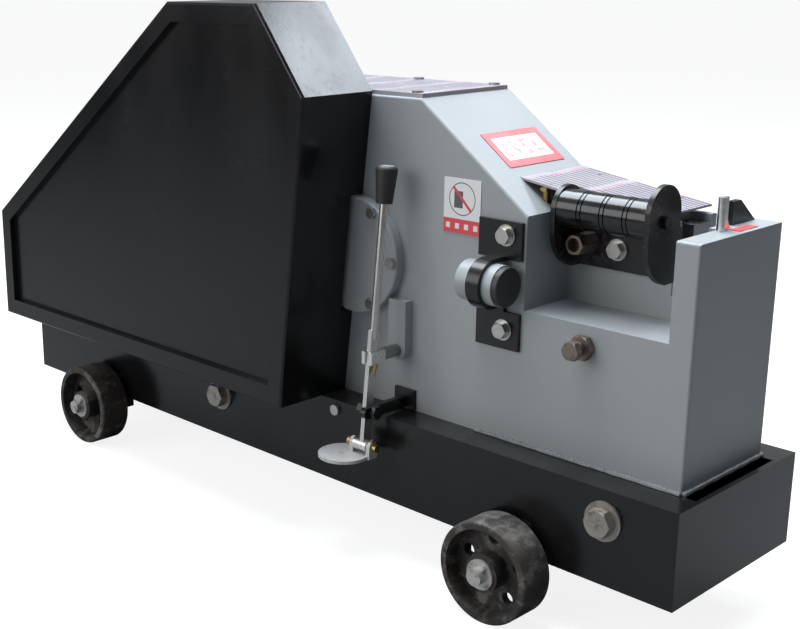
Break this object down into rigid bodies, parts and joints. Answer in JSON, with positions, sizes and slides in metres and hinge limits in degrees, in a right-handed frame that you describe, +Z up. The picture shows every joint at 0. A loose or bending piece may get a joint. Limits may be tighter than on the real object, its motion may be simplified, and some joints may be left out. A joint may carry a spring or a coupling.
{
  "type": "rebar cutter",
  "caption": "wheeled electric rebar cutter: belt-driven flywheel, gear train and jaw clutch turn a crank whose ram shears a bar laid in the nose mouth",
  "frame": {"origin": "on the floor under the middle of the bounding box", "axes": "+X along the base towards the shearing nose, -Y the operator's side with the belt guard and clutch lever, +Z up"},
  "size_m": [1.2, 0.42, 0.684],
  "materials": {
    "base_paint": "gloss black enamel",
    "body_paint": "light blue-grey enamel",
    "motor_paint": "blue-grey enamel on cast ribs",
    "cover_paint": "pale enamel",
    "bracket_paint": "black enamel",
    "label_sheet": null,
    "wheel_iron": "dark cast iron, rust bloomed",
    "zinc_steel": "zinc plated",
    "rusty_steel": "raw steel with light rust",
    "shaft_steel": "turned steel",
    "gear_steel": "oiled gear steel",
    "dark_iron": "machined cast iron",
    "blade_steel": "hardened tool steel, ground",
    "bronze": "bearing bronze",
    "brass_bolt": "yellow passivated",
    "belt_rubber": "matt belt rubber",
    "black_plastic": "moulded plastic",
    "galvanised": "galvanised plate"
  },
  "bodies": {
    "frame": {"base_frame": "base_paint", "wheel_axles": "zinc_steel", "axle_retainers": "zinc_steel", "tie_bolts": "rusty_steel", "machine_body": "body_paint", "top_lid": "cover_paint", "lid_screws": "zinc_steel", "ram_cover": "cover_paint", "cover_bolts": "brass_bolt", "label_plates": "label_sheet", "crank_cover": "body_paint", "bearing_caps": "body_paint", "cap_bolts": "zinc_steel", "shaft_bearings": "shaft_steel", "crank_bushes": "bronze", "belt_guard": "base_paint", "motor_housing": "motor_paint", "motor_shields": "motor_paint", "fan_cover": "motor_paint", "terminal_box": "motor_paint", "mounting_bolts": "zinc_steel", "motor_plate": "base_paint", "v_belts": "belt_rubber", "fixed_blade": "blade_steel", "ram_guides": "bronze", "lever_bracket": "bracket_paint", "clamp_strap": "bracket_paint", "canister": "body_paint", "canister_cap": "black_plastic", "bracket_bolts": "zinc_steel", "side_studs": "rusty_steel", "stop_bracket": "bracket_paint", "roller_pin": "zinc_steel", "lifting_pin": "rusty_steel", "guide_horn": "bracket_paint"},
    "motor_rotor_set": {"motor_rotor": "shaft_steel", "motor_pulley": "dark_iron"},
    "flywheel_set": {"flywheel": "dark_iron", "flywheel_nut": "zinc_steel", "pinion_shaft": "gear_steel"},
    "second_shaft_set": {"intermediate_shaft": "gear_steel", "intermediate_gear": "gear_steel"},
    "bull_gear_set": {"bull_gear": "gear_steel"},
    "crank": {"crankshaft": "gear_steel"},
    "sleeve": {"clutch_sleeve": "gear_steel"},
    "ram_set": {"ram": "dark_iron", "moving_blade": "blade_steel", "connecting_rod": "dark_iron", "wrist_pin": "shaft_steel"},
    "lever": {"lever_bar": "zinc_steel", "lever_knob": "black_plastic", "pedal_pin": "brass_bolt"},
    "pedal": {"pedal_disc": "galvanised"},
    "shifter": {"shift_rod": "shaft_steel", "clutch_clevis": "zinc_steel"},
    "roller": {"stop_roller": "shaft_steel"},
    "wheel_front_near": {"front_wheel_near": "wheel_iron"},
    "wheel_front_far": {"front_wheel_far": "wheel_iron"},
    "wheel_rear_near": {"rear_wheel_near": "wheel_iron"},
    "wheel_rear_far": {"rear_wheel_far": "wheel_iron"}
  },
  "joints": [
    {"name": "flywheel_spin", "type": "hinge", "parent": "frame", "child": "flywheel_set", "pos_m": [-0.07, -0.16, 0.43], "axis": [0, 1, 0], "continuous": true},
    {"name": "motor_spin", "type": "hinge", "parent": "frame", "child": "motor_rotor_set", "pos_m": [-0.46, -0.16, 0.294], "axis": [0, 1, 0], "continuous": true},
    {"name": "intermediate_spin", "type": "hinge", "parent": "frame", "child": "second_shaft_set", "pos_m": [-0.02192, 0, 0.32885], "axis": [0, 1, 0], "continuous": true},
    {"name": "bull_gear_spin", "type": "hinge", "parent": "frame", "child": "bull_gear_set", "pos_m": [0.106, -0.061, 0.372], "axis": [0, 1, 0], "continuous": true},
    {"name": "crank_turn", "type": "hinge", "parent": "frame", "child": "crank", "pos_m": [0.106, 0, 0.372], "axis": [0, 1, 0], "range_deg": [0, 180]},
    {"name": "ram_stroke", "type": "slide", "parent": "frame", "child": "ram_set", "axis": [1, 0, 0], "range_m": [0, 0.041]},
    {"name": "clutch_lever", "type": "hinge", "parent": "frame", "child": "lever", "pos_m": [0.182, -0.156, 0.195], "axis": [1, 0, 0], "range_deg": [0, 8]},
    {"name": "shift_rod_slide", "type": "slide", "parent": "frame", "child": "shifter", "axis": [0, -1, 0], "range_m": [0, 0.00936]},
    {"name": "clutch_sleeve_slide", "type": "slide", "parent": "crank", "child": "sleeve", "axis": [0, -1, 0], "range_m": [0, 0.00936]},
    {"name": "pedal_fold", "type": "hinge", "parent": "lever", "child": "pedal", "pos_m": [0.182, -0.16039, 0.15021], "axis": [-1, 0, 0], "range_deg": [0, 90]},
    {"name": "stop_roller_spin", "type": "hinge", "parent": "frame", "child": "roller", "pos_m": [0.443, -0.047, 0.461], "axis": [1, 0, 0], "continuous": true},
    {"name": "front_near_wheel_spin", "type": "hinge", "parent": "frame", "child": "wheel_front_near", "pos_m": [0.393, -0.166, 0.061], "axis": [0, 1, 0], "continuous": true},
    {"name": "front_far_wheel_spin", "type": "hinge", "parent": "frame", "child": "wheel_front_far", "pos_m": [0.393, 0.146, 0.061], "axis": [0, 1, 0], "continuous": true},
    {"name": "rear_near_wheel_spin", "type": "hinge", "parent": "frame", "child": "wheel_rear_near", "pos_m": [-0.406, -0.166, 0.061], "axis": [0, 1, 0], "continuous": true},
    {"name": "rear_far_wheel_spin", "type": "hinge", "parent": "frame", "child": "wheel_rear_far", "pos_m": [-0.406, 0.146, 0.061], "axis": [0, 1, 0], "continuous": true}
  ],
  "couplings": [
    {"joint": "motor_spin", "follows": "flywheel_spin", "ratio": 3},
    {"joint": "intermediate_spin", "follows": "flywheel_spin", "ratio": -0.27273},
    {"joint": "bull_gear_spin", "follows": "flywheel_spin", "ratio": 0.077922},
    {"joint": "ram_stroke", "follows": "crank_turn", "m_per_rad": 0.013051},
    {"joint": "shift_rod_slide", "follows": "clutch_lever", "m_per_rad": 0.067},
    {"joint": "clutch_sleeve_slide", "follows": "clutch_lever", "m_per_rad": 0.067}
  ]
}
